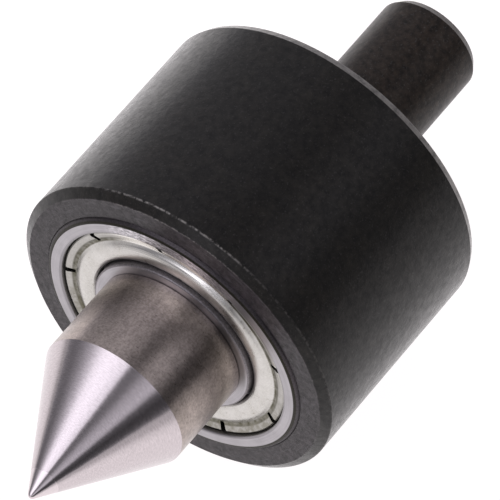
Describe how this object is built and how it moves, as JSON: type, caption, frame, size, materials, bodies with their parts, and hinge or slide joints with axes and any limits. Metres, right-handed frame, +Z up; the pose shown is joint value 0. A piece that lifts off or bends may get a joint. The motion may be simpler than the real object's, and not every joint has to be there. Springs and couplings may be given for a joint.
{
  "type": "live center",
  "caption": "Live center: a conical steel point turns on shielded ball bearings inside a black drum-shaped housing with a plain straight shank.",
  "frame": {"origin": "on the axis, at the housing's rear shoulder, where the shank begins", "axes": "+X along the axis from the point towards the shank's free end, +Z up, -X towards the work"},
  "size_m": [0.0904, 0.0486, 0.0486],
  "materials": {
    "black_oxide_steel": "satin",
    "turned_steel": "satin",
    "ground_ring_steel": "satin",
    "plated_shield": "matte",
    "cage_steel": "satin",
    "rivet_steel": "satin",
    "polished_ball_steel": "polished",
    "spacer_steel": "satin",
    "spring_steel": "satin"
  },
  "bodies": {
    "housing": {"housing": "black_oxide_steel", "front_outer_ring": "ground_ring_steel", "front_shield_fore": "plated_shield", "front_shield_aft": "plated_shield", "outer_spacer": "spacer_steel", "rear_outer_ring": "ground_ring_steel", "rear_shield_fore": "plated_shield", "rear_shield_aft": "plated_shield"},
    "spindle": {"center_point": "turned_steel", "front_inner_ring": "ground_ring_steel", "inner_spacer": "spacer_steel", "rear_inner_ring": "ground_ring_steel", "retaining_ring": "spring_steel"},
    "front_cage": {"front_cage_fore": "cage_steel", "front_cage_aft": "cage_steel", "front_cage_rivets": "rivet_steel"},
    "front_ball_1": {"front_ball_1": "polished_ball_steel"},
    "front_ball_2": {"front_ball_2": "polished_ball_steel"},
    "front_ball_3": {"front_ball_3": "polished_ball_steel"},
    "front_ball_4": {"front_ball_4": "polished_ball_steel"},
    "front_ball_5": {"front_ball_5": "polished_ball_steel"},
    "front_ball_6": {"front_ball_6": "polished_ball_steel"},
    "front_ball_7": {"front_ball_7": "polished_ball_steel"},
    "front_ball_8": {"front_ball_8": "polished_ball_steel"},
    "rear_cage": {"rear_cage_fore": "cage_steel", "rear_cage_aft": "cage_steel", "rear_cage_rivets": "rivet_steel"},
    "rear_ball_1": {"rear_ball_1": "polished_ball_steel"},
    "rear_ball_2": {"rear_ball_2": "polished_ball_steel"},
    "rear_ball_3": {"rear_ball_3": "polished_ball_steel"},
    "rear_ball_4": {"rear_ball_4": "polished_ball_steel"},
    "rear_ball_5": {"rear_ball_5": "polished_ball_steel"},
    "rear_ball_6": {"rear_ball_6": "polished_ball_steel"},
    "rear_ball_7": {"rear_ball_7": "polished_ball_steel"},
    "rear_ball_8": {"rear_ball_8": "polished_ball_steel"}
  },
  "joints": [
    {"name": "spindle_spin", "type": "hinge", "parent": "housing", "child": "spindle", "pos_m": [0, 0, 0], "axis": [1, 0, 0], "continuous": true},
    {"name": "front_cage_spin", "type": "hinge", "parent": "housing", "child": "front_cage", "pos_m": [-0.0281, 0, 0], "axis": [1, 0, 0], "continuous": true},
    {"name": "front_ball_1_roll", "type": "hinge", "parent": "front_cage", "child": "front_ball_1", "pos_m": [-0.0281, 0, -0.01425], "axis": [1, 0, 0], "continuous": true},
    {"name": "front_ball_2_roll", "type": "hinge", "parent": "front_cage", "child": "front_ball_2", "pos_m": [-0.0281, 0.01008, -0.01008], "axis": [1, 0, 0], "continuous": true},
    {"name": "front_ball_3_roll", "type": "hinge", "parent": "front_cage", "child": "front_ball_3", "pos_m": [-0.0281, 0.01425, 0], "axis": [1, 0, 0], "continuous": true},
    {"name": "front_ball_4_roll", "type": "hinge", "parent": "front_cage", "child": "front_ball_4", "pos_m": [-0.0281, 0.01008, 0.01008], "axis": [1, 0, 0], "continuous": true},
    {"name": "front_ball_5_roll", "type": "hinge", "parent": "front_cage", "child": "front_ball_5", "pos_m": [-0.0281, 0, 0.01425], "axis": [1, 0, 0], "continuous": true},
    {"name": "front_ball_6_roll", "type": "hinge", "parent": "front_cage", "child": "front_ball_6", "pos_m": [-0.0281, -0.01008, 0.01008], "axis": [1, 0, 0], "continuous": true},
    {"name": "front_ball_7_roll", "type": "hinge", "parent": "front_cage", "child": "front_ball_7", "pos_m": [-0.0281, -0.01425, 0], "axis": [1, 0, 0], "continuous": true},
    {"name": "front_ball_8_roll", "type": "hinge", "parent": "front_cage", "child": "front_ball_8", "pos_m": [-0.0281, -0.01008, -0.01008], "axis": [1, 0, 0], "continuous": true},
    {"name": "rear_cage_spin", "type": "hinge", "parent": "housing", "child": "rear_cage", "pos_m": [-0.0131, 0, 0], "axis": [1, 0, 0], "continuous": true},
    {"name": "rear_ball_1_roll", "type": "hinge", "parent": "rear_cage", "child": "rear_ball_1", "pos_m": [-0.0131, 0, -0.01425], "axis": [1, 0, 0], "continuous": true},
    {"name": "rear_ball_2_roll", "type": "hinge", "parent": "rear_cage", "child": "rear_ball_2", "pos_m": [-0.0131, 0.01008, -0.01008], "axis": [1, 0, 0], "continuous": true},
    {"name": "rear_ball_3_roll", "type": "hinge", "parent": "rear_cage", "child": "rear_ball_3", "pos_m": [-0.0131, 0.01425, 0], "axis": [1, 0, 0], "continuous": true},
    {"name": "rear_ball_4_roll", "type": "hinge", "parent": "rear_cage", "child": "rear_ball_4", "pos_m": [-0.0131, 0.01008, 0.01008], "axis": [1, 0, 0], "continuous": true},
    {"name": "rear_ball_5_roll", "type": "hinge", "parent": "rear_cage", "child": "rear_ball_5", "pos_m": [-0.0131, 0, 0.01425], "axis": [1, 0, 0], "continuous": true},
    {"name": "rear_ball_6_roll", "type": "hinge", "parent": "rear_cage", "child": "rear_ball_6", "pos_m": [-0.0131, -0.01008, 0.01008], "axis": [1, 0, 0], "continuous": true},
    {"name": "rear_ball_7_roll", "type": "hinge", "parent": "rear_cage", "child": "rear_ball_7", "pos_m": [-0.0131, -0.01425, 0], "axis": [1, 0, 0], "continuous": true},
    {"name": "rear_ball_8_roll", "type": "hinge", "parent": "rear_cage", "child": "rear_ball_8", "pos_m": [-0.0131, -0.01008, -0.01008], "axis": [1, 0, 0], "continuous": true}
  ],
  "couplings": [
    {"joint": "front_cage_spin", "follows": "spindle_spin", "ratio": 0.38163},
    {"joint": "front_ball_1_roll", "follows": "spindle_spin", "ratio": -1.9937},
    {"joint": "front_ball_2_roll", "follows": "spindle_spin", "ratio": -1.9937},
    {"joint": "front_ball_3_roll", "follows": "spindle_spin", "ratio": -1.9937},
    {"joint": "front_ball_4_roll", "follows": "spindle_spin", "ratio": -1.9937},
    {"joint": "front_ball_5_roll", "follows": "spindle_spin", "ratio": -1.9937},
    {"joint": "front_ball_6_roll", "follows": "spindle_spin", "ratio": -1.9937},
    {"joint": "front_ball_7_roll", "follows": "spindle_spin", "ratio": -1.9937},
    {"joint": "front_ball_8_roll", "follows": "spindle_spin", "ratio": -1.9937},
    {"joint": "rear_cage_spin", "follows": "spindle_spin", "ratio": 0.38163},
    {"joint": "rear_ball_1_roll", "follows": "spindle_spin", "ratio": -1.9937},
    {"joint": "rear_ball_2_roll", "follows": "spindle_spin", "ratio": -1.9937},
    {"joint": "rear_ball_3_roll", "follows": "spindle_spin", "ratio": -1.9937},
    {"joint": "rear_ball_4_roll", "follows": "spindle_spin", "ratio": -1.9937},
    {"joint": "rear_ball_5_roll", "follows": "spindle_spin", "ratio": -1.9937},
    {"joint": "rear_ball_6_roll", "follows": "spindle_spin", "ratio": -1.9937},
    {"joint": "rear_ball_7_roll", "follows": "spindle_spin", "ratio": -1.9937},
    {"joint": "rear_ball_8_roll", "follows": "spindle_spin", "ratio": -1.9937}
  ]
}
